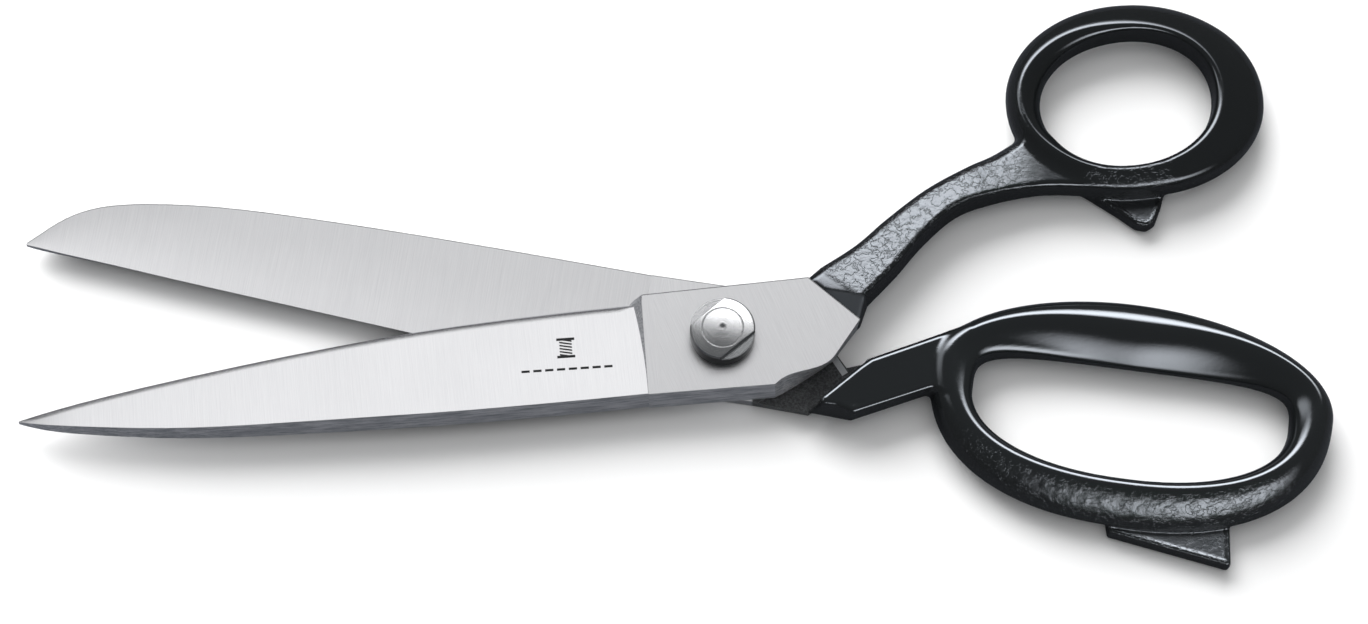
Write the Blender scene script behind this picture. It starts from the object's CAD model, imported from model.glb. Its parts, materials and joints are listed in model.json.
import json
import math
from collections import namedtuple

import bpy
import numpy as np
from mathutils import Matrix, Vector


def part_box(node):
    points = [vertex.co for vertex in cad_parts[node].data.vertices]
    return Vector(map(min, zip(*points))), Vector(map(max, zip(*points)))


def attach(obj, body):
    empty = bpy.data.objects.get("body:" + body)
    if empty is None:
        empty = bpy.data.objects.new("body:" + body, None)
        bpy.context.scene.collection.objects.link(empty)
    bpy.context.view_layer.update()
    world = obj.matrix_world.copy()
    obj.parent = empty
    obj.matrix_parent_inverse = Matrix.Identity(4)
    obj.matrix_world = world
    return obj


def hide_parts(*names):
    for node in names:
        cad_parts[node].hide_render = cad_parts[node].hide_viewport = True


# Fabric shears, part open, on a pale floor.
# The steel pieces are the frame's own.  Both handles are drawn here as lacquered castings.
# A handle is worked out in millimetres in the closed frame of its half: origin on the pivot axis in
# the plane where the blades meet, handles towards +X.  It is then turned and raised into the scene.

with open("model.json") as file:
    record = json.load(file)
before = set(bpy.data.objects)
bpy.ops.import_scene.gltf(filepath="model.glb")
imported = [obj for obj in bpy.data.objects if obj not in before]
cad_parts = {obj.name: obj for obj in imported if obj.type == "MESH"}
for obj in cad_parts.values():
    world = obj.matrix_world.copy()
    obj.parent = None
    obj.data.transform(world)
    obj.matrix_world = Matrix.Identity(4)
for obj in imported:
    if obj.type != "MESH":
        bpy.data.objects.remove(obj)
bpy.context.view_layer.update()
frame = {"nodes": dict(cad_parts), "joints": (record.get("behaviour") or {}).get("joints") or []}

JOINTS = {joint["name"]: joint for joint in frame["joints"]}
HALF_TURN = -JOINTS["blade_pivot"]["range_deg"][0] / 2      # degrees that each half is open at rest
MEETING_HEIGHT = JOINTS["blade_pivot"]["pos_m"][2]
FRONT, REAR = 1, -1                         # the way that each half turns when the pair opens
MM = 0.001
CELL = 0.3          # size of the mesh cells of a handle, in millimetres


# ---- smooth fields ------------------------------------------------------------------------------
def smooth_max(a, b, reach):
    """The larger of two fields, rounded off where they are within reach of each other."""
    return np.maximum(a, b) + np.maximum(reach - np.abs(a - b), 0) ** 2 / (4 * reach)


def smooth_min(a, b, reach):
    """The smaller of two fields, rounded off in the same way."""
    return -smooth_max(-a, -b, reach)


def smooth_step(value, low, high):
    """Nought up to low, one from high on, and a smooth rise between."""
    t = np.clip((value - low) / (high - low), 0, 1)
    return t * t * (3 - 2 * t)


def cubic(a, b, c, d, t):
    """A smooth curve through four values in a row, at the share t of the way from b to c."""
    return b + 0.5 * t * (c - a + t * (2 * a - 5 * b + 4 * c - d + t * (3 * (b - c) + d - a)))


def around(values, turn):
    """Smooth values round a ring: equally spaced, starting at +X, anticlockwise."""
    count = len(values)
    place = (turn / (2 * math.pi)) % 1.0 * count
    k = np.floor(place).astype(int)
    t = place - k
    a, b, c, d = (np.take(values, (k + j) % count) for j in (-1, 0, 1, 2))
    return cubic(a, b, c, d, t)


def curve(points, steps=6):
    """Points along a smooth open curve through the given points."""
    p = np.array(points, float)
    p = np.vstack([2 * p[0] - p[1], p, 2 * p[-1] - p[-2]])
    t = (np.arange(steps) / steps)[:, None]
    spans = [cubic(a, b, c, d, t) for a, b, c, d in zip(p, p[1:], p[2:], p[3:])]
    return [tuple(q) for q in np.vstack(spans + [p[-2][None]])]


def distance_to(x, y, line):
    """Distance to the nearest place on an open line of points."""
    nearest = np.full(x.shape, np.inf)
    for (ax, ay), (bx, by) in zip(line, line[1:]):
        ex, ey = bx - ax, by - ay
        t = np.clip(((x - ax) * ex + (y - ay) * ey) / (ex * ex + ey * ey), 0, 1)
        nearest = np.minimum(nearest, np.hypot(x - ax - t * ex, y - ay - t * ey))
    return nearest


def inside_polygon(x, y, corners):
    """Distance inside a closed polygon: positive inside it, negative outside."""
    closed = corners + corners[:1]
    inside = np.zeros(x.shape, bool)
    for (ax, ay), (bx, by) in zip(closed, closed[1:]):
        if ay != by:
            inside ^= ((ay > y) != (by > y)) & (x < ax + (bx - ax) * (y - ay) / (by - ay))
    return np.where(inside, 1, -1) * distance_to(x, y, closed)


# The upper and the lower side of an oval differ.  A power of two is an ellipse, a higher one squarer.
Oval = namedtuple("Oval", "x y half_length up_height up_power low_height low_power tilt")


def inside_oval(x, y, oval):
    """Distance inside an oval, nearly true close to its line."""
    least_size, least_slope = 0.05, 0.005       # so that nothing is divided by nought
    a = math.radians(oval.tilt)
    u = (x - oval.x) * math.cos(a) + (y - oval.y) * math.sin(a)
    v = (y - oval.y) * math.cos(a) - (x - oval.x) * math.sin(a)
    height = np.where(v > 0, oval.up_height, oval.low_height)
    power = np.where(v > 0, oval.up_power, oval.low_power)
    p, q = np.abs(u) / oval.half_length, np.abs(v) / height
    n = np.maximum((p ** power + q ** power) ** (1 / power), least_size)
    slope = np.hypot((p / n) ** (power - 1) / oval.half_length, (q / n) ** (power - 1) / height)
    return (1 - n) / np.maximum(slope, least_slope)


def ring_turn(x, y, oval):
    """Angle round an oval, as if it were stretched into a circle."""
    return np.arctan2((y - oval.y) / oval.up_height, (x - oval.x) / oval.half_length)


def lumps(shape, step, wave, seed):
    """An even field of random lumps, about one to a wave's length, with a spread of one."""
    band = 0.45                                 # how widely the size of the lumps varies
    random = np.random.default_rng(seed)
    noise = np.fft.rfft2(random.standard_normal(shape))
    fx = np.fft.fftfreq(shape[0], step)[:, None]
    fy = np.fft.rfftfreq(shape[1], step)[None, :]
    pitch = np.hypot(fx, fy) * wave
    field = np.fft.irfft2(noise * np.exp(-((pitch - 1) / band) ** 2), shape)
    return field / field.std()


# ---- meshes from fields -------------------------------------------------------------------------
CORNERS = [(i, j, k) for i in (0, 1) for j in (0, 1) for k in (0, 1)]
CELL_EDGES = [(a, b) for a in range(8) for b in range(a + 1, 8)
              if sum(p != q for p, q in zip(CORNERS[a], CORNERS[b])) == 1]


def surface_net(field, low, step):
    """The closed surface where a field on a grid is nought, as points and four-sided faces."""
    nx, ny, nz = field.shape
    cut = field < 0
    count = sum(cut[i:nx - 1 + i, j:ny - 1 + j, k:nz - 1 + k].astype(np.int8) for i, j, k in CORNERS)
    cells = np.argwhere((count > 0) & (count < 8))
    values = [field[tuple((cells + corner).T)] for corner in CORNERS]
    total = np.zeros((len(cells), 3))
    crossings = np.zeros(len(cells))
    for a, b in CELL_EDGES:
        crossed = (values[a] < 0) != (values[b] < 0)
        t = values[a][crossed] / (values[a][crossed] - values[b][crossed])
        start, end = np.array(CORNERS[a], float), np.array(CORNERS[b], float)
        total[crossed] += start + t[:, None] * (end - start)
        crossings[crossed] += 1
    points = low + step * (cells + total / crossings[:, None])
    number = np.full((nx - 1, ny - 1, nz - 1), -1)
    number[tuple(cells.T)] = np.arange(len(cells))
    faces = []
    for axis in range(3):
        side, other = (axis + 1) % 3, (axis + 2) % 3
        near = np.moveaxis(cut, (axis, side, other), (0, 1, 2))[:, 1:-1, 1:-1]
        ends = np.argwhere(near[:-1] != near[1:])
        leaving = near[:-1][tuple(ends.T)]
        where = np.moveaxis(number, (axis, side, other), (0, 1, 2))
        a, b, c = ends.T
        loop = np.stack([where[a, b, c], where[a, b + 1, c],
                         where[a, b + 1, c + 1], where[a, b, c + 1]], 1)
        loop[~leaving] = loop[~leaving][:, ::-1]
        faces.append(loop)
    return points, np.vstack(faces)


def relax(points, faces, rounds):
    """Evens out a mesh: each point moves part of the way to the middle of its neighbours and back."""
    shrink, swell = 0.5, -0.52
    edges = np.vstack([faces[:, [0, 1]], faces[:, [1, 2]], faces[:, [2, 3]], faces[:, [3, 0]]])
    start, end = edges.T
    count = np.bincount(start, minlength=len(points)).astype(float)
    for weight in (shrink, swell) * rounds:
        mean = np.stack([np.bincount(start, points[end, k], len(points)) for k in range(3)], 1)
        points = points + weight * (mean / count[:, None] - points)
    return points


def in_scene(half):
    """The transform from a half's closed frame in millimetres to the scene."""
    turn = Matrix.Rotation(math.radians(HALF_TURN * half), 4, "Z")
    return Matrix.Translation((0, 0, MEETING_HEIGHT)) @ turn @ Matrix.Scale(MM, 4)


def mesh_piece(name, points, faces, half):
    """A smooth-shaded object from points and four-sided faces in the closed frame of a half."""
    mesh = bpy.data.meshes.new(name)
    mesh.vertices.add(len(points))
    mesh.loops.add(faces.size)
    mesh.polygons.add(len(faces))
    mesh.vertices.foreach_set("co", points.astype(np.float32).ravel())
    mesh.loops.foreach_set("vertex_index", faces.ravel().astype(np.int32))
    mesh.polygons.foreach_set("loop_start", np.arange(0, faces.size, 4, dtype=np.int32))
    mesh.update(calc_edges=True)
    mesh.transform(in_scene(half))
    mesh.polygons.foreach_set("use_smooth", np.ones(len(faces), bool))
    mesh.validate()
    piece = bpy.data.objects.new(name, mesh)
    bpy.context.scene.collection.objects.link(piece)
    return piece


def vertex_values(piece, name, values):
    """Gives each point of a piece a number that its material can read."""
    layer = piece.data.attributes.new(name, "FLOAT", "POINT")
    layer.data.foreach_set("value", np.asarray(values, np.float32))


class Plan:
    """A grid in the closed frame of a half: x and y are flat fields, and z is a row of heights."""

    def __init__(self, low, high):
        margin = 4 * CELL
        self.low = np.array(low, float) - margin
        steps = np.ceil((np.array(high, float) + margin - self.low) / CELL).astype(int)
        axes = [self.low[k] + CELL * np.arange(steps[k] + 1) for k in range(3)]
        self.x, self.y = np.meshgrid(axes[0], axes[1], indexing="ij")
        self.z = axes[2][None, None, :]

    def over(self, flat):
        """A flat field made ready to meet the heights."""
        return flat[:, :, None]

    def at(self, flat, points):
        """A flat field read at each point, evenly between the grid's values."""
        place = (points[:, :2] - self.low[:2]) / CELL
        i, j = np.floor(place).astype(int).T
        s, t = (place - np.floor(place)).T
        near = flat[i, j] * (1 - t) + flat[i, j + 1] * t
        far = flat[i + 1, j] * (1 - t) + flat[i + 1, j + 1] * t
        return near * (1 - s) + far * s


# ---- handle shapes ------------------------------------------------------------------------------
GRIP_LOW = -4.93            # underside of both bows
GRIP_TOP = 5.6              # and the height of their crests
SHANK_LOW = -4.8            # underside of both shanks
PARTING = 0.2               # height of the casting's parting line
DRAFT = 0.08                # lean of the side walls above the parting line
TUCK = 0.42                 # and below it


def wall_lean(plan):
    """How far the side walls have moved inwards at each height."""
    return np.where(plan.z > PARTING, DRAFT, -TUCK) * (plan.z - PARTING)


def bow_field(plan, outer, hole, crest, inner_drop, outer_drop, inner_power, outer_power,
              inner_round, outer_round, under_round, texture):
    """A finger bow: a crest line runs round it, with one slope to the hole and one to the outside.

    The crest's share of the bow's width, the drops and the roundings are values round the ring.
    It gives the bow's field and that of its hole.
    """
    turn = ring_turn(plan.x, plan.y, outer)
    from_hole = -inside_oval(plan.x, plan.y, hole)
    from_outside = inside_oval(plan.x, plan.y, outer)
    rounder = hole._replace(up_power=min(hole.up_power, 3.0))
    slope_start = -inside_oval(plan.x, plan.y, rounder)
    share = slope_start / np.maximum(slope_start + from_outside, 0.5)
    ridge = around(crest, turn)
    inward = np.clip((ridge - share) / ridge, 0, 2)
    outward = np.clip((share - ridge) / (1 - ridge), 0, 2)
    top = GRIP_TOP - around(inner_drop, turn) * inward ** inner_power
    top = top - around(outer_drop, turn) * outward ** outer_power + texture
    lean = wall_lean(plan)
    inner_reach = plan.over(around(inner_round, turn))
    field = smooth_max(plan.z - plan.over(top), lean - plan.over(from_hole), inner_reach)
    field = smooth_max(field, lean - plan.over(from_outside), plan.over(around(outer_round, turn)))
    field = smooth_max(field, GRIP_LOW - plan.z, under_round)
    return field, lean - plan.over(from_hole)


def lofted_field(plan, base, top_outline, top, low, rounding):
    """A bar between an outline at the parting line and a smaller one at its top."""
    under_round = 2.0
    wide = plan.over(inside_polygon(plan.x, plan.y, base))
    narrow = plan.over(inside_polygon(plan.x, plan.y, top_outline))
    rise = np.clip((plan.z - PARTING) / (plan.over(top) - PARTING), 0, 1)
    wall = -(wide + rise * (narrow - wide)) + TUCK * np.maximum(PARTING - plan.z, 0)
    field = smooth_max(plan.z - plan.over(top), wall, rounding)
    return smooth_max(field, low - plan.z, under_round)


def spur_field(plan, corners, top, low):
    """A low flat lug with a raised rim."""
    rim_height, rounding = 0.15, 0.6
    edge = inside_polygon(plan.x, plan.y, corners)
    face = top - rim_height * smooth_step(edge, 0.8, 1.3)
    wall = DRAFT * np.abs(plan.z - (top + low) / 2) - plan.over(edge)
    field = smooth_max(plan.z - plan.over(face), wall, rounding)
    return smooth_max(field, low - plan.z, rounding)


THUMB_BOW = Oval(88.3, 41.1, 25.9, 20.5, 2.05, 20.8, 2.1, -3.0)
THUMB_HOLE = Oval(86.3, 40.4, 17.1, 13.4, 2.1, 14.2, 2.1, 5.0)
FINGER_BOW = Oval(80.3, 1.2, 39.2, 18.2, 2.0, 26.9, 2.3, 0.0)
FINGER_HOLE = Oval(80.3, -1.9, 30.6, 8.1, 4.4, 14.6, 2.2, 0.8)
THUMB_SPUR = [(74.0, 24.5), (80.8, 18.6), (84.5, 15.1), (86.6, 14.4), (88.4, 15.2), (90.0, 18.2),
              (92.6, 24.5)]
FINGER_SPUR = [(77.6, -22.0), (79.0, -26.8), (102.6, -30.0), (103.1, -29.3), (101.9, -20.5)]
SPUR_LOW = -4.6
SPUR_TOP = -0.6
# the pocket under the finger bow that the thumb spur passes through when the pair closes
RELIEF = [(72.5, 24.0), (79.7, 17.9), (83.4, 14.3), (85.8, 13.6), (88.4, 14.5), (90.4, 17.8),
          (93.5, 24.0)]
RELIEF_TOP = 0.0
COLLAR = (18.2, 9.9)        # where the thumb shank leaves the pivot plate
HEADING = (0.743, 0.669)    # and the way that it heads from there
SPUR_MATTE = 0.35           # how matte the sunk face of a spur is


def finish_casting(name, plan, field, rough, matte, spur, half, node, body):
    """Meshes a handle's field, gives it its surface values and puts it in place of the CAD piece."""
    points, faces = surface_net(field, plan.low, CELL)
    points = relax(points, faces, 3)
    piece = mesh_piece(name, points, faces, half)
    vertex_values(piece, "rough", plan.at(rough, points))
    spur_face = smooth_step(inside_polygon(points[:, 0], points[:, 1], spur), 1.1, 1.5)
    spur_face *= np.abs(points[:, 2] - SPUR_TOP) < 0.35
    vertex_values(piece, "matte", np.maximum(plan.at(matte, points), SPUR_MATTE * spur_face))
    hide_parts(node)
    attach(piece, body)
    return piece


def thumb_casting():
    """The thumb handle: a round bow, a curved shank with a slanting back and a small spur."""
    plan = Plan((17.0, -2.0, -5.2), (115.0, 63.0, 6.8))
    bow, opening = bow_field(
        plan, THUMB_BOW, THUMB_HOLE,
        crest=(0.16, 0.15, 0.24, 0.48, 0.66, 0.36, 0.26, 0.2),
        inner_drop=(0.3, 0.4, 0.5, 1.6, 3.2, 1.2, 0.8, 0.5),
        outer_drop=(4.4, 4.2, 2.8, 2.0, 1.8, 2.0, 1.5, 2.2),
        inner_round=(1.4, 1.2, 1.2, 1.4, 1.6, 1.6, 1.4, 1.4),
        outer_round=(2.2, 2.2, 2.2, 2.2, 2.2, 2.2, 1.5, 2.0),
        inner_power=1.8, outer_power=1.32, under_round=3.6, texture=0.0)
    upper = curve([(20.6, 12.6), (28.2, 16.6), (35.0, 21.4), (43.6, 26.7), (52.4, 30.6), (59.0, 33.0),
                   (66.0, 36.5)])
    lower = curve([(92.0, 21.6), (84.0, 20.7), (76.5, 21.7), (69.3, 22.8), (63.9, 23.0), (56.6, 22.3),
                   (49.2, 20.4), (42.0, 15.4), (35.5, 9.3), (29.2, 4.0)])
    base = [(17.3, 9.7)] + upper + [(74.0, 33.0), (92.0, 26.0)] + lower + [(27.2, -0.1), (26.3, -0.75)]
    upper_top = curve([(20.9, 11.8), (28.6, 15.6), (35.5, 20.4), (44.0, 25.6), (52.8, 29.5), (59.5, 31.8),
                       (66.0, 35.5)])
    lower_top = curve([(92.0, 22.2), (84.0, 21.3), (76.5, 22.3), (69.3, 23.4), (63.8, 23.6), (56.4, 22.9),
                       (48.9, 21.0), (41.7, 15.9), (35.1, 9.7), (28.8, 4.6)])
    above = ([(17.3, 9.5)] + upper_top + [(74.0, 33.0), (92.0, 26.0)] + lower_top
             + [(27.2, 0.2), (26.3, -0.6)])
    along = (plan.x - COLLAR[0]) * HEADING[0] + (plan.y - COLLAR[1]) * HEADING[1]
    back = np.interp(plan.x, (20, 30, 42, 54, 60, 66, 74, 84, 94),
                     (6.6, 6.6, 6.4, 5.8, 5.0, 4.2, 4.2, 4.2, 3.0))
    from_upper = distance_to(plan.x, plan.y, upper)
    from_lower = distance_to(plan.x, plan.y, lower)
    width = np.minimum(from_upper + from_lower, 18.0)
    share = from_upper / (from_upper + from_lower)
    tilt = 0.2 - 0.17 * smooth_step(plan.x, 54, 69)
    back = back - width * tilt * np.maximum(0.93 - share, 0)
    facet = 5.06 + 0.42 * along
    texture = 0.5 * lumps(plan.x.shape, CELL, 2.4, 11) + lumps(plan.x.shape, CELL, 1.2, 12)
    depth = 0.012
    texture = depth * texture * smooth_step(along, 5.0, 8.0) * (1 - smooth_step(plan.x, 56, 64))
    top = -smooth_max(-back, -facet, 0.15) + texture
    shank = lofted_field(plan, base, above, top, SHANK_LOW, plan.over(1.8 - 0.9 * share))
    spur = spur_field(plan, THUMB_SPUR, SPUR_TOP, SPUR_LOW)
    field = smooth_max(smooth_min(bow, shank, 1.2), opening, 0.5)
    field = smooth_min(field, spur, 0.8)
    roughness = smooth_step(along, 2.4, 3.4) * (1 - smooth_step(plan.x, 58, 68))
    ledge = smooth_step(plan.x, 73, 77) * (1 - smooth_step(plan.x, 91, 94)) * (plan.y < 25.5)
    roughness = np.maximum(roughness, 0.8 * ledge)
    matte = smooth_step(back - facet, -0.1, 0.1) * (along < 8)
    return finish_casting("thumb_handle_casting", plan, field, roughness, matte, THUMB_SPUR, FRONT,
                          "thumb_handle", "front_half")


def finger_casting():
    """The finger handle: a long bow with a textured lower bar, a flat shank and a long spur."""
    plan = Plan((17.5, -30.0, -5.2), (120.0, 20.5, 5.8))
    from_hole = -inside_oval(plan.x, plan.y, FINGER_HOLE)
    roughness = smooth_step(from_hole, 2.2, 4.2) * smooth_step(-plan.y, 9, 16)
    texture = lumps(plan.x.shape, CELL, 3.2, 21) + 0.6 * lumps(plan.x.shape, CELL, 1.5, 22)
    depth = 0.022
    bow, opening = bow_field(
        plan, FINGER_BOW, FINGER_HOLE,
        crest=(0.55, 0.7, 0.62, 0.66, 0.57, 0.3, 0.13, 0.28),
        inner_drop=(3.0, 4.6, 4.5, 4.2, 1.8, 0.6, 0.4, 0.8),
        outer_drop=(2.4, 2.0, 2.0, 2.0, 1.6, 3.6, 4.8, 4.2),
        inner_round=(1.6, 1.2, 0.7, 1.3, 1.8, 2.4, 2.6, 2.2),
        outer_round=(2.0,) * 8,
        inner_power=1.55, outer_power=1.9, under_round=4.5,
        texture=depth * texture * roughness)
    base = [(18.4, -11.7), (26.2, -2.8), (28.4, 0.8), (43.2, 9.0), (47.5, 9.6), (45.6, 4.0), (44.6, -1.0),
            (44.6, -4.6), (41.4, -4.5), (27.0, -12.1)]
    above = [(20.7, -9.6), (27.4, -2.0), (29.2, -0.3), (44.0, 7.8), (47.0, 8.6), (45.6, 4.0), (44.6, -1.0),
             (44.6, -4.2), (42.1, -4.2), (27.4, -11.8), (23.9, -10.7), (21.1, -10.8)]
    shank_top = np.full(plan.x.shape, 4.7)
    shank = lofted_field(plan, base, above, shank_top, SHANK_LOW, 0.8)
    spur = spur_field(plan, FINGER_SPUR, SPUR_TOP, SPUR_LOW)
    field = smooth_max(smooth_min(bow, shank, 1.5), opening, 0.5)
    field = smooth_min(field, spur, 0.6)
    relief = np.maximum(plan.z - RELIEF_TOP, -plan.over(inside_polygon(plan.x, plan.y, RELIEF)))
    field = smooth_max(field, -relief, 0.6)
    matte = np.zeros(plan.x.shape)
    return finish_casting("finger_handle_casting", plan, field, roughness, matte, FINGER_SPUR, REAR,
                          "finger_handle", "rear_half")


# ---- materials ----------------------------------------------------------------------------------
GLOSS_BLACK, DULL_BLACK = (0.006, 0.0065, 0.0065, 1), (0.008, 0.009, 0.010, 1)
FACE_DARK, FACE_PALE = (0.62, 0.62, 0.64, 1), (0.90, 0.90, 0.91, 1)
WALL_DARK, WALL_PALE = (0.50, 0.52, 0.55, 1), (0.98, 0.98, 1.0, 1)
CHAMFER_GREY = (0.10, 0.10, 0.108, 1)
ETCHED_BLACK = (0.012, 0.013, 0.015, 1)
COAT_DARK, COAT_PALE = (0.04, 0.042, 0.044, 1), (0.15, 0.155, 0.16, 1)
RUBBED_GREY = (0.7, 0.71, 0.73, 1)
RING_DARK, RING_PALE = (0.55, 0.56, 0.58, 1), (0.92, 0.92, 0.93, 1)
DULL_GREY = (0.36, 0.37, 0.38, 1)
RIM_BLACK = (0.03, 0.032, 0.035, 1)


class Nodes:
    """A short way to write the nodes of a material, a lamp or the world."""

    def __init__(self, owner, output):
        owner.use_nodes = True
        self.owner = owner
        self.tree = owner.node_tree
        self.tree.nodes.clear()
        self.output = self.tree.nodes.new("ShaderNodeOutput" + output)

    @classmethod
    def of_material(cls, name):
        return cls(bpy.data.materials.new(name), "Material")

    def add(self, kind, inputs=None, **settings):
        """A new node, with a number, a colour or another node's output for each input named."""
        node = self.tree.nodes.new("ShaderNode" + kind)
        for key, value in settings.items():
            setattr(node, key, value)
        for key, value in (inputs or {}).items():
            self.feed(node.inputs[key], value)
        return node

    def feed(self, socket, value):
        if hasattr(value, "is_output"):
            self.tree.links.new(value, socket)
        else:
            socket.default_value = value

    def math(self, operation, a, b=0.0):
        return self.add("Math", {0: a, 1: b}, operation=operation).outputs[0]

    def part(self, vector, axis):
        """The x, y or z of a vector, for an axis of 0, 1 or 2."""
        return self.add("SeparateXYZ", {"Vector": vector}).outputs[axis]

    def mix(self, share, a, b):
        """Between two colours, which are sockets 6 and 7 of a mixing node."""
        node = self.add("Mix", data_type="RGBA")
        self.feed(node.inputs[0], share)
        self.feed(node.inputs[6], a)
        self.feed(node.inputs[7], b)
        return node.outputs[2]

    def mix_value(self, share, a, b):
        """Between two numbers, which are sockets 2 and 3 of a mixing node."""
        node = self.add("Mix", data_type="FLOAT")
        self.feed(node.inputs[0], share)
        self.feed(node.inputs[2], a)
        self.feed(node.inputs[3], b)
        return node.outputs[0]

    def step(self, value, low, high):
        """Nought at low, one at high and a smooth rise between.  High may be the smaller one."""
        return self.add("MapRange", {"Value": value, "From Min": low, "From Max": high},
                        interpolation_type="SMOOTHSTEP").outputs[0]

    def noise(self, vector, scale, detail=3.0, roughness=0.55):
        return self.add("TexNoise", {"Vector": vector, "Scale": scale, "Detail": detail,
                                     "Roughness": roughness}).outputs[0]

    def bump(self, height, distance, normal=None):
        """A relief of the given height in millimetres."""
        inputs = {"Height": height, "Strength": 1.0, "Distance": distance * MM}
        if normal is not None:
            inputs["Normal"] = normal
        return self.add("Bump", inputs).outputs[0]

    def bevel(self, radius, samples):
        """The normal with edges rounded off, for a radius in millimetres."""
        radius = self.math("MULTIPLY", radius, MM)
        return self.add("Bevel", {"Radius": radius}, samples=samples).outputs[0]

    def finish(self, shader):
        self.tree.links.new(shader, self.output.inputs[0])
        return self.owner


def scaled(n, vector, scale):
    return n.add("VectorMath", {0: vector, 1: scale}, operation="MULTIPLY").outputs[0]


def turned(n, vector, angle, middle=(0.0, 0.0, 0.0)):
    """A place turned about an upright axis through the middle, by an angle in degrees."""
    return n.add("VectorRotate", {"Vector": vector, "Center": middle, "Angle": math.radians(angle)},
                 rotation_type="Z_AXIS").outputs[0]


def own_place(n):
    """The piece's own coordinates in millimetres, which are the scene's when the piece is at rest."""
    return scaled(n, n.add("TexCoord").outputs["Object"], (1 / MM,) * 3)


def half_place(n, half):
    """Coordinates in millimetres in the closed frame of a half, apart from the height."""
    return turned(n, own_place(n), -HALF_TURN * half)


def upright_share(n):
    """How straight up or down the surface of a piece faces: one on level faces, nought on walls."""
    normal = n.add("NewGeometry").outputs["Normal"]
    own = n.add("VectorTransform", {"Vector": normal}, vector_type="NORMAL", convert_from="WORLD",
                convert_to="OBJECT").outputs[0]
    return n.math("ABSOLUTE", n.part(own, 2))


def lacquer():
    """Thick gloss black lacquer, lumpy where the casting under it is rough."""
    n = Nodes.of_material("black_lacquer")
    place = own_place(n)
    rough = n.add("Attribute", attribute_name="rough").outputs["Fac"]
    lump = n.noise(place, 0.8, 4.0, 0.6)
    crease = n.math("ABSOLUTE", n.math("SUBTRACT", n.noise(place, 0.5, 3.0, 0.6), 0.5))
    crease = n.math("MULTIPLY", n.step(crease, 0.0, 0.03), 0.22)
    height = n.math("ADD", n.math("MULTIPLY", lump, 0.9), crease)
    amount = n.mix_value(rough, 0.06, 1.0)
    bump = n.bump(n.math("MULTIPLY", height, amount), 0.12)
    matte = n.add("Attribute", attribute_name="matte").outputs["Fac"]
    gloss = n.mix_value(matte, n.mix_value(rough, 0.1, 0.2), 0.55)
    colour = n.mix(matte, GLOSS_BLACK, DULL_BLACK)
    shader = n.add("BsdfPrincipled", {"Base Color": colour, "Roughness": gloss, "IOR": 1.52,
                                      "Normal": bump})
    return n.finish(shader.outputs[0])


def inside_box(n, x, y, middle, size):
    """One inside a box in the plane, nought outside it."""
    beside = n.math("SUBTRACT", n.math("ABSOLUTE", n.math("SUBTRACT", x, middle[0])), size[0] / 2)
    above = n.math("SUBTRACT", n.math("ABSOLUTE", n.math("SUBTRACT", y, middle[1])), size[1] / 2)
    return n.step(n.math("MAXIMUM", beside, above), 0.04, -0.04)


def etched_mark(n, place):
    """A spool of thread over a row of stitches, in millimetres on the front blade."""
    middle = (-30.5, 1.6, 0.0)
    level = turned(n, place, 3, middle)
    x = n.math("SUBTRACT", n.part(level, 0), middle[0])
    y = n.math("SUBTRACT", n.part(level, 1), middle[1])
    flanges = inside_box(n, x, n.math("ABSOLUTE", y), (0.0, 1.9), (3.5, 0.55))
    body = inside_box(n, x, y, (0.0, 0.0), (2.4, 3.3))
    winding = n.math("FRACT", n.math("MULTIPLY", n.math("ADD", y, n.math("MULTIPLY", x, 0.22)), 1.5))
    thread = n.math("MULTIPLY", body, n.step(n.math("ABSOLUTE", n.math("SUBTRACT", winding, 0.5)), 0.3, 0.2))
    row = inside_box(n, x, y, (0.0, -4.6), (17.7, 0.5))
    pitch = n.math("FRACT", n.math("DIVIDE", n.math("ADD", x, 8.85), 2.3))
    stitches = n.math("MULTIPLY", row, n.step(pitch, 0.71, 0.68))
    return n.math("MAXIMUM", n.math("MAXIMUM", flanges, thread), stitches)


SLANT_START = -12.5         # from here towards the handles the grinding lines slant
COAT_START = 7.5            # and from here the rear half is lacquered
RUBBED_MIDDLE = (23.1, -0.8, 0.0)


def ground_grain(n, place, ahead, wall):
    """Fine lines: straight across ahead of SLANT_START, slanting behind it, lengthwise on the walls."""
    leaned = turned(n, place, -16)
    across = n.noise(scaled(n, place, (9.0, 0.10, 0.3)), 1.0, 4.0, 0.7)
    slanted = n.noise(scaled(n, leaned, (6.0, 0.12, 0.3)), 1.0, 4.0, 0.75)
    across = n.mix_value(n.step(ahead, SLANT_START - 0.1, SLANT_START + 0.1), across, slanted)
    along = n.noise(scaled(n, place, (0.12, 2.0, 2.2)), 1.0, 4.0, 0.75)
    return n.mix_value(wall, across, along)


def dark_chamfer(n, half, ahead, wall):
    """One on a narrow chamfer along the edges that face the scene's +Y, nought elsewhere."""
    on_blade = n.step(ahead, -16.0, -20.0) if half == FRONT else 0.0
    rounded = n.bevel(n.mix_value(on_blade, 0.3, 1.7), 6)
    flat = n.add("NewGeometry").outputs["Normal"]
    leaning = n.math("SUBTRACT", n.part(rounded, 1), n.part(flat, 1))
    low, high = (0.01, 0.06) if half == FRONT else (0.08, 0.3)
    return n.math("MULTIPLY", n.step(leaning, low, high), n.math("SUBTRACT", 1.0, wall))


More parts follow.
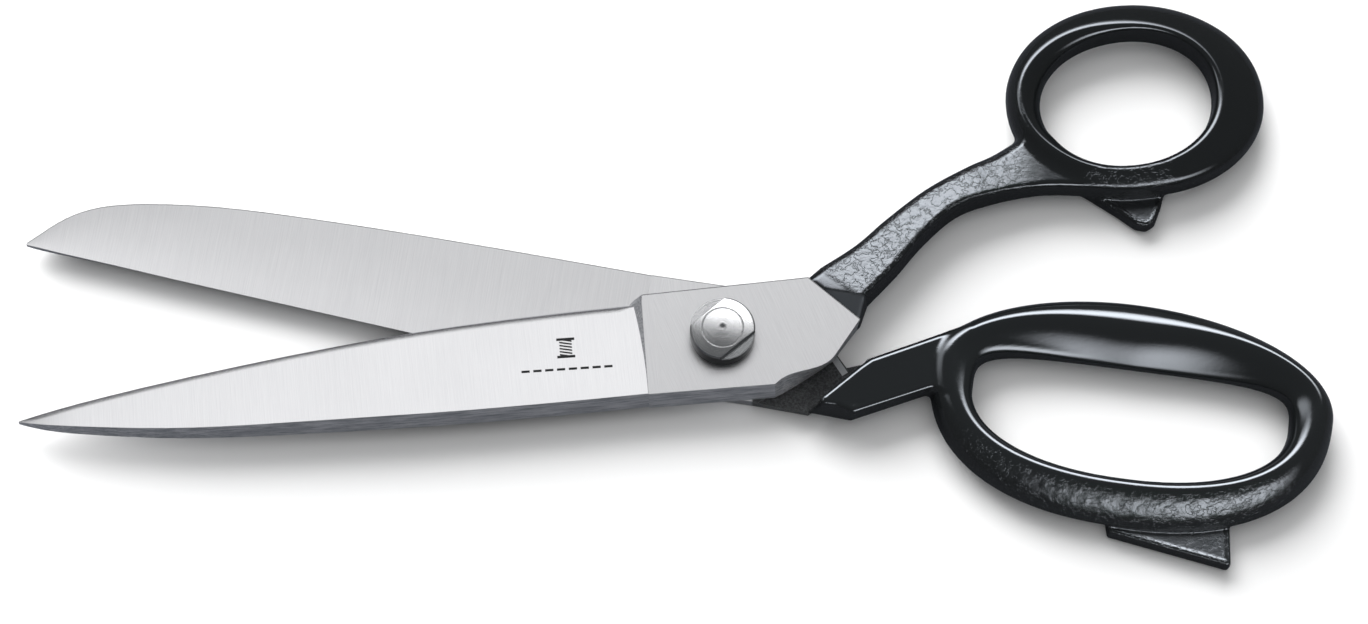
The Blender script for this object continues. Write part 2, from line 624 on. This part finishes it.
def tang_coat(n, place, soft):
    """Rough black lacquer with one strip of it rubbed bright."""
    pits = n.noise(place, 2.6, 5.0, 0.7)
    strip = turned(n, place, 49, RUBBED_MIDDLE)
    rubbed = inside_box(n, n.part(strip, 0), n.part(strip, 1), RUBBED_MIDDLE, (4.6, 1.3))
    tint = n.mix(n.step(pits, 0.35, 0.7), COAT_DARK, COAT_PALE)
    tint = n.mix(rubbed, tint, RUBBED_GREY)
    return n.add("BsdfPrincipled", {"Base Color": tint, "Roughness": 0.4,
                                    "Normal": n.bump(pits, 0.5, soft)}).outputs[0]


def blade_steel(half):
    """Ground steel.  The front half is etched, and the rear half is lacquered from COAT_START on."""
    n = Nodes.of_material("ground_steel_" + ("front" if half == FRONT else "rear"))
    place = half_place(n, half)
    ahead = n.part(place, 0)
    wall = n.math("SUBTRACT", 1.0, n.step(upright_share(n), 0.45, 0.6))
    grain = ground_grain(n, place, ahead, wall)
    cloud = n.noise(scaled(n, place, (0.05, 0.05, 0.05)), 1.0, 2.0)
    face = n.mix(grain, FACE_DARK, FACE_PALE)
    side = n.mix(n.step(grain, 0.3, 0.7), WALL_DARK, WALL_PALE)
    colour = n.mix(dark_chamfer(n, half, ahead, wall), n.mix(wall, face, side), CHAMFER_GREY)
    roughness = n.math("ADD", n.math("MULTIPLY", grain, 0.12), n.math("MULTIPLY", cloud, 0.05))
    roughness = n.math("ADD", roughness, n.mix_value(wall, 0.24, 0.45))
    soft = n.bevel(0.1, 6)
    metal = 1.0
    if half == FRONT:
        mark = etched_mark(n, place)
        colour = n.mix(mark, colour, ETCHED_BLACK)
        metal = n.math("SUBTRACT", 1.0, mark)
        roughness = n.mix_value(mark, roughness, 0.6)
    steel = n.add("BsdfPrincipled", {"Base Color": colour, "Metallic": metal, "Roughness": roughness,
                                     "Normal": n.bump(grain, 0.012, soft)}).outputs[0]
    if half == FRONT:
        return n.finish(steel)
    covered = n.step(ahead, COAT_START - 0.3, COAT_START + 0.3)
    coat = tang_coat(n, place, soft)
    return n.finish(n.add("MixShader", {0: covered, 1: steel, 2: coat}).outputs[0])


FLAT_TURN = math.radians(41)        # the way that the nut's spanner flats run
DULL_DEPTH = 1.0                    # one side of the nut is dull from this far below its top


def turned_steel(top):
    """Lathe-turned bright steel with rings round the pivot axis, for a nut that ends at top."""
    n = Nodes.of_material("turned_steel")
    place = own_place(n)
    x, y, z = (n.part(place, axis) for axis in range(3))
    radius = n.math("SQRT", n.math("ADD", n.math("POWER", x, 2.0), n.math("POWER", y, 2.0)))
    rings = n.add("TexNoise", {"W": n.math("MULTIPLY", radius, 7.0), "Scale": 1.0, "Detail": 3.0},
                  noise_dimensions="1D").outputs[0]
    wear = n.noise(place, 1.2, 4.0, 0.65)
    wall = n.step(upright_share(n), 0.7, 0.5)
    # the rim is dark, and the side with the spanner flat towards the finger bow is dull
    rim = n.math("MULTIPLY", wall, n.step(radius, 5.95, 6.1))
    beside = n.math("SUBTRACT", n.math("MULTIPLY", x, math.sin(FLAT_TURN)),
                    n.math("MULTIPLY", y, math.cos(FLAT_TURN)))
    sunk = n.step(z, top - DULL_DEPTH + 0.1, top - DULL_DEPTH - 0.1)
    dull = n.math("MULTIPLY", sunk, n.step(beside, -0.1, 0.1))
    colour = n.mix(dull, n.mix(rings, RING_DARK, RING_PALE), DULL_GREY)
    colour = n.mix(rim, colour, RIM_BLACK)
    relief = n.math("ADD", rings, n.math("MULTIPLY", wear, 0.1))
    bump = n.bump(relief, 0.008, n.bevel(0.15, 4))
    round_about = n.add("Tangent", direction_type="RADIAL", axis="Z").outputs[0]
    shader = n.add("BsdfPrincipled", {"Base Color": colour, "Metallic": 1.0, "Anisotropic": 0.4,
                                      "Roughness": n.mix_value(wear, 0.22, 0.28), "Normal": bump,
                                      "Tangent": round_about})
    return n.finish(shader.outputs[0])


def dress(node, material):
    """Gives one of the frame's own pieces its material."""
    mesh = frame["nodes"][node]
    mesh.data.materials.clear()
    mesh.data.materials.append(material)


# ---- the object ---------------------------------------------------------------------------------
black = lacquer()
for casting in (thumb_casting(), finger_casting()):
    casting.data.materials.append(black)
dress("front_blade", blade_steel(FRONT))
dress("rear_blade", blade_steel(REAR))
bright = turned_steel(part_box("pivot_nut")[1].z / MM)
for node in ("pivot_nut", "pivot_bolt", "washer"):
    dress(node, bright)


# ---- floor, light and camera --------------------------------------------------------------------
TARGET = Vector((-0.007566, 0.006377, MEETING_HEIGHT))
CAMERA = Vector((-0.003696, -0.248432, 0.700163 + MEETING_HEIGHT))
WHITE, COOL = (1.0, 1.0, 1.0), (0.86, 0.92, 1.0)
FLOOR_SEEN, FLOOR_MIRRORED = (0.86, 0.86, 0.86, 1), (0.10, 0.105, 0.12, 1)


def floor():
    """A pale floor just under the shears, which looks dark in their reflections."""
    mesh = bpy.data.meshes.new("floor")
    reach, gap = 3.0, 0.2 * MM
    corners = [(-reach, -reach), (reach, -reach), (reach, reach), (-reach, reach)]
    mesh.from_pydata([(x, y, -gap) for x, y in corners], [], [(0, 1, 2, 3)])
    plane = bpy.data.objects.new("floor", mesh)
    bpy.context.scene.collection.objects.link(plane)
    n = Nodes.of_material("pale_floor")
    mirrored = n.add("LightPath").outputs["Is Glossy Ray"]
    colour = n.mix(mirrored, FLOOR_SEEN, FLOOR_MIRRORED)
    mesh.materials.append(n.finish(n.add("BsdfDiffuse", {"Color": colour}).outputs[0]))
    return plane


def softbox(name, place, size, power, lit, core=0.6, tint=WHITE):
    """A panel of light with soft edges that shines on the things in lit.

    Core is the share of its width and length that is evenly bright.
    """
    data = bpy.data.lights.new(name, "AREA")
    data.shape = "RECTANGLE"
    data.size, data.size_y = size
    data.energy = power
    data.color = tint
    n = Nodes(data, "Light")
    spot = n.add("NewGeometry").outputs["Parametric"]
    glow = 1.0
    for axis in (0, 1):
        from_middle = n.math("ABSOLUTE", n.math("SUBTRACT", n.part(spot, axis), 0.5))
        glow = n.math("MULTIPLY", glow, n.step(from_middle, 0.5, 0.5 * core))
    n.finish(n.add("Emission", {"Strength": glow}).outputs[0])
    lamp = bpy.data.objects.new(name, data)
    lamp.location = place
    lamp.rotation_euler = (TARGET - Vector(place)).to_track_quat("-Z", "Y").to_euler()
    lamp.light_linking.receiver_collection = lit
    bpy.context.scene.collection.objects.link(lamp)


def camera():
    """The photo's view."""
    data = bpy.data.cameras.new("camera")
    data.lens = 100.0
    data.sensor_width = 36.0
    data.clip_start = 0.01
    view = bpy.data.objects.new("camera", data)
    view.location = CAMERA
    view.rotation_euler = (TARGET - CAMERA).to_track_quat("-Z", "Y").to_euler()
    bpy.context.scene.collection.objects.link(view)
    bpy.context.scene.camera = view


def seen_by(name, objects):
    """A collection of the things that a lamp shines on."""
    group = bpy.data.collections.new(name)
    for thing in objects:
        group.objects.link(thing)
    return group


def studio():
    """Dim surroundings that look pale to the camera itself."""
    world = bpy.data.worlds.new("studio")
    n = Nodes(world, "World")
    strength = n.mix_value(n.add("LightPath").outputs["Is Camera Ray"], 0.11, 0.95)
    n.finish(n.add("Background", {"Color": (0.95, 0.98, 1.0, 1), "Strength": strength}).outputs[0])
    bpy.context.scene.world = world


castings = [bpy.data.objects[name] for name in ("thumb_handle_casting", "finger_handle_casting")]
steel = [frame["nodes"][name] for name in ("front_blade", "rear_blade")]
pivot = [frame["nodes"][name] for name in ("pivot_nut", "pivot_bolt", "washer")]
ground = floor()
camera()
on_floor = seen_by("lit_floor", [ground])
on_castings = seen_by("lit_castings", castings)
on_thumb = seen_by("lit_thumb_handle", castings[:1])
on_finger = seen_by("lit_finger_handle", castings[1:])
on_blades = seen_by("lit_blades", steel)
on_pivot = seen_by("lit_pivot", pivot)
on_metal = seen_by("lit_metal", steel + pivot)
# name, place, size, power in watts, what it lights, and where wanted its even core and its tint
softbox("overhead", (-0.6, 1.35, 1.1), (2.2, 2.2), 115.0, on_floor)
softbox("fill", (0.0, 0.0, 3.0), (5.0, 5.0), 90.0, on_floor)
softbox("crest_panel", (0.12, 1.05, 1.15), (3.0, 0.95), 205.0, on_finger, 0.15, COOL)
softbox("thumb_panel", (-0.15, 1.05, 1.15), (2.1, 1.1), 120.0, on_thumb, 0.15, COOL)
softbox("side_panel", (-1.15, 0.55, 1.0), (1.2, 1.2), 20.0, on_castings, 0.15, COOL)
softbox("front_panel", (0.6, -1.2, 1.0), (2.4, 1.2), 115.0, on_finger, 0.1, COOL)
softbox("thumb_front", (0.4, -1.2, 1.0), (2.4, 1.0), 85.0, on_thumb, 0.1, COOL)
softbox("blade_panel", (-0.1, 1.0, 1.35), (2.4, 0.9), 8.8, on_blades)
softbox("blade_top", (0.0, 0.35, 1.6), (2.0, 0.6), 3.0, on_blades)
softbox("blade_front", (0.3, -1.3, 0.6), (3.0, 1.2), 6.0, on_blades)
softbox("pivot_panel", (0.1, 0.85, 1.3), (1.4, 0.6), 11.0, on_pivot, 0.3)
for k in range(8):
    side = math.radians(45 * k)
    place = (2.0 * math.cos(side), 2.0 * math.sin(side), 0.8)
    softbox("low_panel_%d" % k, place, (2.0, 1.2), 3.5, on_metal)
studio()
bpy.context.scene.view_settings.view_transform = "Standard"

bpy.context.view_layer.update()
